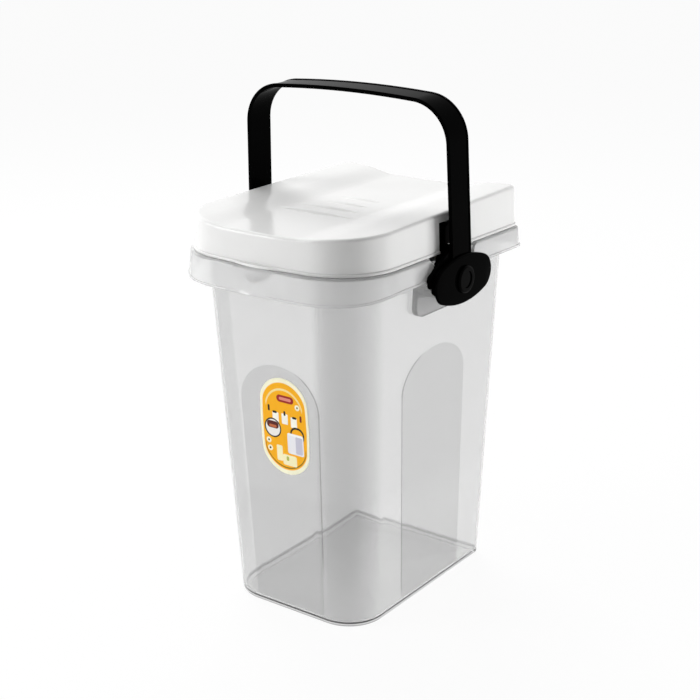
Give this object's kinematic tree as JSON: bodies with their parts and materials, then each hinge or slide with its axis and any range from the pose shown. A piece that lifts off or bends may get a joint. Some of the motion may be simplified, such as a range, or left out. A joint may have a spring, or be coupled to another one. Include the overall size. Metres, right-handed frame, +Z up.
{
  "type": "food storage container",
  "caption": "Tall tapered clear tub with a hinged white lid, a soft seal and a black bail handle that turns on cam feet at its sides.",
  "frame": {"origin": "on the floor, under the middle of the whole container", "axes": "+Z up, +Y to the rear, where the lid's hinge is, +X to the right seen from the front"},
  "size_m": [0.2016, 0.2387, 0.4036],
  "materials": {
    "clear_plastic": "clear moulded plastic, polished on its arched panels and lightly frosted elsewhere",
    "white_plastic": "glossy white moulded plastic",
    "black_plastic": "satin black moulded plastic",
    "pin_plastic": "pale moulded plastic",
    "seal_rubber": "soft translucent silicone",
    "label_film": "printed adhesive film"
  },
  "bodies": {
    "container": {"tub": "clear_plastic", "label": "label_film", "pivot_hub_left": "black_plastic", "pivot_hub_right": "black_plastic", "pivot_cap_left": "black_plastic", "pivot_cap_right": "black_plastic", "hinge_pin_left": "pin_plastic", "hinge_pin_right": "pin_plastic"},
    "lid": {"lid": "white_plastic", "lid_seal": "seal_rubber", "lid_catch_left": "black_plastic", "lid_catch_right": "black_plastic"},
    "handle": {"handle": "black_plastic"}
  },
  "joints": [
    {"name": "lid_hinge", "type": "hinge", "parent": "container", "child": "lid", "pos_m": [0, 0.11485, 0.291], "axis": [-1, 0, 0], "range_deg": [0, 28]},
    {"name": "handle_pivot", "type": "hinge", "parent": "container", "child": "handle", "pos_m": [0, 0.00835, 0.268], "axis": [1, 0, 0], "range_deg": [-130, 122]}
  ]
}
